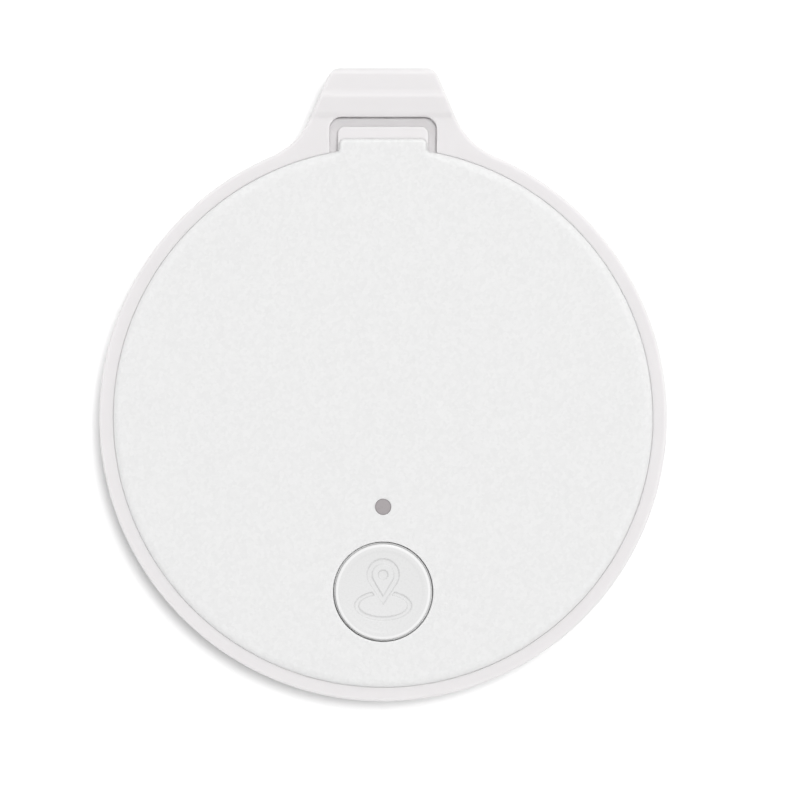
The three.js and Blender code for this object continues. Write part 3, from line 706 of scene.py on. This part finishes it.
def tongue():
    """The smooth pry tongue: it runs out under the textured tab and slopes down to its tip."""
    corner = 0.5
    edge = 0.13
    base_y = 17.25
    bend = arc(TONGUE_X - corner, TONGUE_TIP_Y - corner, corner, corner, 0, 90, 10)
    right = np.vstack([resample([(TONGUE_X, base_y), (TONGUE_X, TONGUE_TIP_Y - corner)], 16), bend[1:]])
    across = np.column_stack([np.linspace(TONGUE_X - corner, corner - TONGUE_X, 30)[1:-1],
                              np.full(28, TONGUE_TIP_Y)])
    back = np.column_stack([np.linspace(-TONGUE_X, TONGUE_X, 30)[1:-1], np.full(28, base_y)])
    outline = np.vstack([right, across, right[::-1] * np.array([-1.0, 1.0]), back])
    slope = [(0, RIM_Z), (TONGUE_SLOPE_Y, RIM_Z), (TONGUE_TIP_Y, TONGUE_TIP_Z), (30, TONGUE_TIP_Z)]

    def top(xy):
        return soft_line(slope, xy[:, 1], 0.18)

    rings = [with_z(inward(outline, 0.15), COVER_UNDER_Z), with_z(outline, COVER_UNDER_Z + 0.15)]
    for angle in np.linspace(0, 90, 7):
        d = edge * (1 - math.cos(math.radians(angle)))
        xy = inward(outline, d)
        rings.append(with_z(xy, top(xy) - fillet(d, edge)))
    inner = inward(outline, edge)
    spine = np.column_stack([inner[:, 0] * 0.0, np.clip(inner[:, 1], base_y + 0.4, TONGUE_TIP_Y - 0.4)])
    for share in np.linspace(0, 1, 18)[1:]:
        xy = inner + (spine - inner) * share
        rings.append(with_z(xy, top(xy)))
    vertices, faces = loop_strip(rings)
    faces.append(tuple(reversed(range(len(outline)))))
    obj = new_object("front_cover_tongue", vertices, faces, "cover", "shell_white")
    obj.data.materials.append(MATERIAL["tongue"])


# ---------------------------------------------------------------- button


def teardrop(x, y, radius, tip):
    """Signed distance to a circle about the origin drawn out to a point at (0, -tip)."""
    lean = radius / tip
    rise = math.sqrt(1 - lean**2)
    px, py = np.abs(x), y + tip
    along = px * lean + py * rise
    flank = px * rise - py * lean
    return np.where(along < 0, np.hypot(px, py), np.where(along > tip * rise, np.hypot(x, y) - radius, flank))


def ellipse(x, y, half_x, half_y):
    k = np.hypot(x / half_x, y / half_y)
    slope = np.hypot(x / half_x**2, y / half_y**2)
    return k * (k - 1) / np.maximum(slope, 1e-6)


def map_pin(x, y):
    """Signed distance to the button's picture: a plain map pin standing in an oval ring."""
    head_y = 1.13
    outside = teardrop(x, y - head_y, 1.08, 1.98)
    inside = teardrop(x, y - head_y, 0.73, 1.43)
    pin = np.maximum(outside, -inside)
    dot = np.hypot(x, y - head_y) - 0.32
    oval = np.maximum(ellipse(x, y + 0.93, 1.91, 0.98), -ellipse(x, y + 0.93, 1.62, 0.75))
    oval = np.maximum(oval, 0.18 - outside)
    return np.minimum(np.minimum(pin, dot), oval)


def button_cap():
    bevel = 0.15
    lip_out = BUTTON_R - bevel
    wall = 0.06
    radii = np.concatenate([np.linspace(0, 2.62, 74), [2.68, 2.74, 2.8, 2.86, 2.92, 3.0]])
    segments = 384
    t = np.linspace(0, 2 * math.pi, segments, endpoint=False)
    circle = np.column_stack([np.cos(t), np.sin(t)])
    rings = []
    for r in radii:
        xy = circle * r
        dish = BUTTON_TOP - DISH_DEPTH + DISH_RISE * (min(r, DISH_R) / DISH_R) ** 2
        z = dish + (BUTTON_TOP - dish) * smoothstep(2.6, 2.86, r)
        sunk = ENGRAVING * (1 - smoothstep(-wall, wall, map_pin(xy[:, 0], xy[:, 1])))
        rings.append(with_z(xy + np.array([BUTTON]), z - sunk))
    for angle in np.linspace(90, 0, 8):
        s = math.radians(angle)
        r = lip_out + bevel * math.cos(s)
        rings.append(with_z(circle * r + np.array([BUTTON]), BUTTON_TOP - bevel * (1 - math.sin(s))))
    foot = BUTTON_R + BUTTON_FLANGE
    below = [(BUTTON_R, FLANGE_TOP_Z + 0.03), (BUTTON_R + 0.02, FLANGE_TOP_Z), (foot, FLANGE_TOP_Z),
             (foot, 6.84), (foot - 0.04, CAP_UNDER_Z), (POST_R, CAP_UNDER_Z), (POST_R, 4.45), (0.92, 4.37),
             (0, 4.37)]
    for r, z in below:
        rings.append(with_z(circle * r + np.array([BUTTON]), z))
    obj = new_object("button_cap_head", *loop_strip(rings), "button", "button_white", 50)
    obj.data.materials.append(MATERIAL["button"])
    # the second material, a lighter copy of the button plastic, is a painted highlight on the top bevel ring
    obj.data.materials.append(MATERIAL["button_bevel_painted_highlight"])
    for face in obj.data.polygons:
        reach = math.hypot(face.center.x / MM - BUTTON[0], face.center.y / MM - BUTTON[1])
        if PAINTED_HIGHLIGHT_FROM_R < reach < BUTTON_R + 0.01 and face.center.z / MM > BUTTON_TOP - 0.2:
            face.material_index = 1
    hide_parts("button_cap")

    skirt_r, hook_z = BUTTON_BORE_R - 0.15, 5.05
    profile = [(skirt_r - 0.7, hook_z), (skirt_r, hook_z), (BUTTON_BORE_R + 0.2, hook_z + 0.12),
               (BUTTON_BORE_R + 0.2, hook_z + 0.35), (skirt_r, hook_z + 0.35), (skirt_r, 6.85),
               (skirt_r - 0.7, 6.85), (skirt_r - 0.7, hook_z)]
    fingers = new_object("button_cap_fingers", *lathe(profile, BUTTON, 96), "button", "button_white")
    for degrees in (0, 60, 120):
        cut(fingers, *turned_box(7, 1.1, (hook_z - 0.2, 6.78), BUTTON, degrees))
    tidy_mesh(fingers)
    fingers.data.materials.clear()
    fingers.data.materials.append(MATERIAL["button"])


def turned_box(width, depth, heights, centre, degrees=0):
    t = math.radians(degrees)
    outline = []
    for x, y in ((-1, -1), (1, -1), (1, 1), (-1, 1)):
        dx, dy = x * width / 2, y * depth / 2
        outline.append((centre[0] + dx * math.cos(t) - dy * math.sin(t),
                        centre[1] + dx * math.sin(t) + dy * math.cos(t)))
    return prism(outline, *heights)


def light_pipe():
    top = PIPE_TOP
    profile = [(0, 3.5), (PIPE_R - 0.1, 3.5), (PIPE_R, 3.8), (PIPE_R, 5.95), (0.78, 5.95), (0.8, 5.97),
               (0.8, 6.13), (0.78, 6.15), (PIPE_R, 6.15), (PIPE_R, top - 0.06)]
    profile += arc(PIPE_R - 0.06, top - 0.06, 0.06, 0.06, 10, 80, 4)
    profile += [(0.35, top + 0.005), (0, top + 0.01)]
    profile = [(r, min(z, top)) for r, z in profile]
    obj = new_object("light_pipe_stem", *lathe(profile, LAMP, 64), "cover", "pipe_grey")
    obj.data.materials.append(MATERIAL["pipe"])
    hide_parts("light_pipe")


# ---------------------------------------------------------------- inside the case
INSIDE = {
    "seal_ring": "silicone", "battery_pad": "foam",
    "switch_body": "chip", "switch_cover_plate": "can", "switch_dome": "spring", "switch_plunger": "holder",
    "circuit_board": "board",
    "ble_chip": "chip", "crystal_32mhz": "can", "crystal_32khz": "can", "chip_antenna": "ceramic",
    "boost_coil": "ferrite", "driver_transistor": "chip", "status_led": "led", "inductor_rf": "ceramic",
    "capacitor_1": "tan", "capacitor_2": "tan", "capacitor_3": "tan", "capacitor_4": "tan",
    "resistor_1": "chip", "resistor_2": "chip", "resistor_3": "chip",
    "board_screw_1": "screw", "board_screw_2": "screw", "board_screw_3": "screw",
    "battery_can": "cell", "battery_gasket": "nylon", "battery_cap": "cell",
    "battery_anode": "lithium", "battery_separator": "nylon", "battery_cathode": "cathode",
    "battery_holder": "holder", "battery_negative_contact": "spring",
    "battery_positive_contact_1": "spring", "battery_positive_contact_2": "spring",
    "piezo_adhesive_ring": "foam", "piezo_brass_disc": "brass", "piezo_ceramic": "silver",
    "piezo_contact_rim": "spring", "piezo_contact_centre": "spring",
}
EDGE_WIDTH = {"ble_chip": 0.06, "boost_coil": 0.12, "battery_holder": 0.08, "switch_body": 0.08,
              "crystal_32mhz": 0.15, "crystal_32khz": 0.15, "chip_antenna": 0.06, "driver_transistor": 0.1}


def smooth_by_angle():
    """A modifier that joins split corners and shades everything but the sharp edges smooth."""
    group = bpy.data.node_groups.new("smooth_by_angle", "GeometryNodeTree")
    group.interface.new_socket("Geometry", in_out="INPUT", socket_type="NodeSocketGeometry")
    group.interface.new_socket("Geometry", in_out="OUTPUT", socket_type="NodeSocketGeometry")
    nodes, links = group.nodes, group.links
    start, end = nodes.new("NodeGroupInput"), nodes.new("NodeGroupOutput")
    weld = nodes.new("GeometryNodeMergeByDistance")
    weld.inputs["Distance"].default_value = 1e-6
    whole = nodes.new("GeometryNodeSetShadeSmooth")
    edges = nodes.new("GeometryNodeSetShadeSmooth")
    edges.domain = "EDGE"
    angle = nodes.new("GeometryNodeInputMeshEdgeAngle")
    sharp = nodes.new("FunctionNodeCompare")
    sharp.operation = "GREATER_THAN"
    sharp.inputs["B"].default_value = math.radians(34)
    links.new(angle.outputs["Unsigned Angle"], sharp.inputs["A"])
    links.new(sharp.outputs["Result"], edges.inputs["Selection"])
    edges.inputs["Shade Smooth"].default_value = False
    links.new(start.outputs[0], weld.inputs["Geometry"])
    links.new(weld.outputs["Geometry"], whole.inputs["Geometry"])
    links.new(whole.outputs["Geometry"], edges.inputs["Geometry"])
    links.new(edges.outputs["Geometry"], end.inputs[0])
    return group


def dress_inside():
    group = smooth_by_angle()
    for node, material in INSIDE.items():
        obj = NODES[node]
        obj.data.materials.clear()
        obj.data.materials.append(MATERIAL[material])
        shading = obj.modifiers.new("smooth_by_angle", "NODES")
        shading.node_group = group
        edge = obj.modifiers.new("edges", "BEVEL")
        edge.width = EDGE_WIDTH.get(node, 0.025) * MM
        edge.segments = 2
        edge.limit_method = "ANGLE"
        edge.angle_limit = math.radians(40)
        edge.harden_normals = True


def box_mesh(low, high, edge=0.03):
    """A box between two corners whose upright edges and top are chamfered."""
    (x0, y0, z0), (x1, y1, z1) = low, high
    e = min(edge, (x1 - x0) / 3, (y1 - y0) / 3, (z1 - z0) / 2)
    rings = []
    for inset, z in ((0, z0), (0, z1 - e), (e, z1)):
        a, b, c, d = x0 + inset, x1 - inset, y0 + inset, y1 - inset
        k = e
        rings.append([(a + k, c, z), (b - k, c, z), (b, c + k, z), (b, d - k, z),
                      (b - k, d, z), (a + k, d, z), (a, d - k, z), (a, c + k, z)])
    vertices, faces = loop_strip(rings)
    faces += [tuple(reversed(range(8))), tuple(range(16, 24))]
    return vertices, faces


def detail(name, parts, slot, material, body="case_body", smooth_angle=32):
    obj = new_object(name, *merge(*parts), body, slot, smooth_angle)
    obj.data.materials.append(MATERIAL[material])
    return obj


def turn_about(mesh, centre, degrees):
    t = math.radians(degrees)
    vertices, faces = mesh
    moved = []
    for x, y, z in vertices:
        moved.append((centre[0] + x * math.cos(t) - y * math.sin(t),
                      centre[1] + x * math.sin(t) + y * math.cos(t), z))
    return moved, faces


# Two-ended parts: node, width, depth, height, turn in degrees.
TWO_ENDED = [
    ("capacitor_1", 1.6, 0.8, 0.8, 90),
    ("capacitor_2", 1.6, 0.8, 0.8, 0),
    ("capacitor_3", 1.6, 0.8, 0.8, 0),
    ("capacitor_4", 1.6, 0.8, 0.8, 90),
    ("resistor_1", 1.6, 0.8, 0.45, 90),
    ("resistor_2", 1.6, 0.8, 0.45, 56),
    ("resistor_3", 1.6, 0.8, 0.45, 0),
    ("inductor_rf", 1.2, 0.7, 0.7, 90),
    ("status_led", 1.6, 0.8, 0.55, 0),
    ("chip_antenna", 3.2, 1.6, 1.0, 56),
    ("crystal_32khz", 3.2, 1.5, 0.75, 70),
]


def middle_of(node):
    low, high = corners(node)
    return [(a + b) / 2 for a, b in zip(low, high)], low, high


def solder_work():
    """Metal end caps, solder fillets and pads of the soldered parts."""
    board_top = corners("circuit_board")[1][2]
    caps, solder = [], []
    for node, width, depth, height, degrees in TWO_ENDED:
        (x, y, _), low, _ = middle_of(node)
        z = low[2]
        end = 0.16 * width
        lift = 0.012
        for side in (-1, 1):
            x0, x1 = sorted((side * (width / 2 + lift), side * (width / 2 - end)))
            reach = depth / 2 + lift
            cap = box_mesh((x0, -reach, z - 0.005), (x1, reach, z + height + lift), 0.04)
            caps.append(turn_about(cap, (x, y), degrees))
            out = side * (width / 2 + 0.3)
            near = side * (width / 2 - 0.2)
            a, b = sorted((out, near))
            pad = box_mesh((a, -depth / 2 - 0.1, board_top), (b, depth / 2 + 0.1, board_top + 0.03), 0.02)
            solder.append(turn_about(pad, (x, y), degrees))
            foot, ridge = side * (width / 2 + 0.25), side * (width / 2 + lift)
            wedge = [(foot, board_top + 0.02), (side * (width / 2 + 0.1), board_top + 0.12 * height + 0.04),
                     (ridge, board_top + 0.45 * height), (ridge - side * 0.05, board_top + 0.02)]
            vertices, faces = prism(wedge, -depth / 2 + 0.04, depth / 2 - 0.04)
            solder.append(turn_about(([(p, r, q) for p, q, r in vertices], faces), (x, y), degrees))
    detail("part_end_caps", caps, "screw_steel", "solder")
    detail("solder_fillets", solder, "screw_steel", "solder")


def chip_details():
    board_top = corners("circuit_board")[1][2]
    pads, dimples, legs = [], [], []
    (cx, cy, _), low, high = middle_of("ble_chip")
    half = (high[0] - low[0]) / 2
    for side in range(4):
        for k in range(8):
            along = (k - 3.5) * 0.5
            low_corner = (half - 0.28, along - 0.12, board_top)
            pad = box_mesh(low_corner, (half + 0.22, along + 0.12, board_top + 0.1), 0.02)
            pads.append(turn_about(pad, (cx, cy), 90 * side))
    top = high[2]
    dimple = [(0, top + 0.004), (0.2, top + 0.004), (0.24, top), (0.24, top - 0.02), (0, top - 0.02)]
    dimples.append(lathe(dimple, (cx - half + 0.6, cy + half - 0.6), 32))
    tx, ty, _ = middle_of("driver_transistor")[0]
    for dx, dy in ((-0.95, 1), (0.95, 1), (0, -1)):
        y0, y1 = sorted((ty + dy * 0.62, ty + dy * 1.15))
        legs.append(box_mesh((tx + dx - 0.2, y0, board_top), (tx + dx + 0.2, y1, board_top + 0.14), 0.03))
    sx, sy, _ = middle_of("switch_body")[0]
    for side in (-1, 1):
        for dy in (-1.5, 1.5):
            x0, x1 = sorted((sx + side * 2.38, sx + side * 3.15))
            near, far = sy + dy - 0.33, sy + dy + 0.33
            legs.append(box_mesh((x0, near, board_top), (x1, far, board_top + 0.235), 0.04))
    detail("chip_pads", pads, "screw_steel", "solder")
    detail("chip_dimple", dimples, "chip_black", "pipe")
    detail("part_legs", legs, "screw_steel", "solder")


def ribbon(points, width, z, height=0.012):
    """A flat track through points in plan."""
    parts = []
    for (x0, y0), (x1, y1) in zip(points, points[1:]):
        length = math.hypot(x1 - x0, y1 - y0)
        degrees = math.degrees(math.atan2(y1 - y0, x1 - x0))
        strip = box_mesh((-width / 2, -width / 2, z), (length + width / 2, width / 2, z + height), 0.01)
        parts.append(turn_about(strip, (x0, y0), degrees))
    return parts


def board_tracks():
    """Tracks under the mask, plated vias and the rings round the screw holes."""
    board_top = corners("circuit_board")[1][2]
    routes = [
        [(-6, -9.2), (-5.2, -9.2), (-4.2, -8.9)],
        [(-6, -6.4), (-5, -5.9), (-1.2, -5.9)],
        [(1.2, -5.9), (3.2, -5.4), (5.2, -5.4), (6, -6.2)],
        [(-8.5, -10.9), (-8.5, -13.2), (-4.2, -15.2), (1.5, -15.4)],
        [(3.2, -13.2), (5, -11.6), (6.4, -11.4)],
        [(8, -10.6), (9, -9), (10.6, -8.2)],
        [(-11.2, -8), (-12.2, -8.6), (-12.9, -9.4), (-11.6, -11.8)],
        [(-10.9, -5.3), (-11.6, -3.4), (-13.2, -1.4), (-14.4, 2.4), (-14.2, 5)],
        [(12, -4.8), (13.6, -2), (14.4, 2.4), (14.2, 5)],
        [(4.4, -6), (4.4, -5.2)],
    ]
    tracks = []
    for route in routes:
        tracks += ribbon(route, 0.28, board_top)
    detail("board_tracks", tracks, "board_green", "board")
    rings = []
    for k in (1, 2, 3):
        (x, y, _), _, _ = middle_of(f"board_screw_{k}")
        rings.append(lathe([(0.74, board_top), (1.55, board_top), (1.55, board_top + 0.012),
                            (0.74, board_top + 0.012), (0.74, board_top)], (x, y), 48))
    rng = np.random.default_rng(7)
    spots = []
    while len(spots) < 46:
        x, y = rng.uniform(-15.5, 15.5, 2)
        clear = math.hypot(x, y) < 15.8 and math.hypot(x, y - 5) > 11.6 and math.hypot(x, y + 11.65) > 4.2
        if clear and all(math.hypot(x - a, y - b) > 0.9 for a, b in spots):
            spots.append((x, y))
            rings.append(lathe([(0.09, board_top), (0.2, board_top), (0.19, board_top + 0.014),
                                (0.1, board_top + 0.014), (0.09, board_top)], (x, y), 20))
    detail("board_rings_and_vias", rings, "piezo_brass", "gold")


def cell_marks():
    """A raised plus sign and a turned ring on the cell's top."""
    (x, y, _), _, high = middle_of("battery_can")
    top = high[2]
    cross = [box_mesh((x - 1.2, y - 0.22, top - 0.02), (x + 1.2, y + 0.22, top + 0.015), 0.01),
             box_mesh((x - 0.22, y - 1.2, top - 0.02), (x + 0.22, y + 1.2, top + 0.015), 0.01)]
    ring = lathe([(8.5, top - 0.02), (8.7, top - 0.02), (8.66, top + 0.015), (8.54, top + 0.015),
                  (8.5, top - 0.02)], (x, y), 160)
    detail("battery_plus_sign", cross + [ring], "cell_steel", "cell")


# ---------------------------------------------------------------- stage, light and camera


def stage_material():
    material, nodes, links, shader, place = graph("white_floor")
    wide = noise(nodes, links, place, 60, 2)
    tone_and_painted_glints = ramp(nodes, links, wide, [(0.3, (0.86, 0.86, 0.86)), (0.7, (0.88, 0.88, 0.88))])
    links.new(tone_and_painted_glints, shader.inputs["Base Color"])
    shader.inputs["Roughness"].default_value = 0.7
    shader.inputs["Specular IOR Level"].default_value = 0.1
    shader.inputs["Emission Color"].default_value = (1, 1, 1, 1)
    shader.inputs["Emission Strength"].default_value = FLOOR_GLOW
    return material


FLOOR_GLOW = 0.03
ZENITH_LIGHT = 0.42
HORIZON_LIGHT = 0.95
KEY_LIGHT = 0.648
KEY_TILT, KEY_TURN = 6.6, 45
KEY_SPREAD = 8
SIDE_LIGHT = 0.13
SIDE_TILT, SIDE_TURN = 44, 75
SIDE_SPREAD = 20


def floor():
    mesh = bpy.data.meshes.new("floor")
    size = 1.5
    square = [(-size, -size, 0), (size, -size, 0), (size, size, 0), (-size, size, 0)]
    mesh.from_pydata(square, [], [(0, 1, 2, 3)])
    obj = bpy.data.objects.new("floor", mesh)
    obj.data.materials.append(stage_material())
    bpy.context.scene.collection.objects.link(obj)


def disc_light(name, irradiance, tilt, turn, spread, glints):
    """A round soft light, by its angle off the zenith, its direction in plan and the angle it spans."""
    distance = 1.0
    light = bpy.data.lights.new(name, "AREA")
    light.shape = "DISK"
    light.size = 2 * distance * math.tan(math.radians(spread / 2))
    light.energy = irradiance * math.pi**2 * distance**2
    obj = bpy.data.objects.new(name, light)
    lean, swing = math.radians(tilt), math.radians(turn)
    towards = Vector((math.sin(lean) * math.cos(swing), math.sin(lean) * math.sin(swing), math.cos(lean)))
    obj.location = towards * distance
    obj.rotation_euler = (-towards).to_track_quat("-Z", "Y").to_euler()
    obj.visible_glossy = glints
    bpy.context.scene.collection.objects.link(obj)


def sky():
    """A light tent: brighter low down than overhead, the same from every side."""
    world = bpy.data.worlds.new("studio")
    world.use_nodes = True
    nodes, links = world.node_tree.nodes, world.node_tree.links
    place = nodes.new("ShaderNodeTexCoord").outputs["Generated"]
    split = nodes.new("ShaderNodeSeparateXYZ")
    links.new(place, split.inputs["Vector"])
    grade = ramp(nodes, links, split.outputs["Z"], [(0.0, (1, 1, 1)), (0.35, (0.5,) * 3), (0.75, (0, 0, 0))])
    level = nodes.new("ShaderNodeMath")
    level.operation = "MULTIPLY_ADD"
    links.new(grade, level.inputs[0])
    level.inputs[1].default_value = HORIZON_LIGHT - ZENITH_LIGHT
    level.inputs[2].default_value = ZENITH_LIGHT
    back = nodes["Background"]
    back.inputs["Color"].default_value = (1, 1, 1, 1)
    links.new(level.outputs[0], back.inputs["Strength"])
    bpy.context.scene.world = world


def lights():
    sky()
    disc_light("key", KEY_LIGHT, KEY_TILT, KEY_TURN, KEY_SPREAD, False)
    disc_light("side", SIDE_LIGHT, SIDE_TILT, SIDE_TURN, SIDE_SPREAD, True)
    bpy.context.scene.view_settings.view_transform = "Standard"
    bpy.context.scene.view_settings.look = "None"


FIELD = 53.5 * MM
LENS, SENSOR = 200.0, 36.0
AIM = (1.13, 1.17)


def camera():
    data = bpy.data.cameras.new("camera")
    data.lens, data.sensor_width = LENS, SENSOR
    distance = FIELD * LENS / SENSOR
    data.clip_start, data.clip_end = 0.01, 5
    obj = bpy.data.objects.new("camera", data)
    obj.location = (AIM[0] * MM, AIM[1] * MM, RIM_Z * MM + distance)
    bpy.context.scene.collection.objects.link(obj)
    bpy.context.scene.camera = obj


case = rear_case()
case.data.materials.clear()
case.data.materials.append(MATERIAL["shell"])
front_cover()
snap_beads()
tongue()
button_cap()
light_pipe()
dress_inside()
solder_work()
chip_details()
board_tracks()
cell_marks()
floor()
lights()
camera()
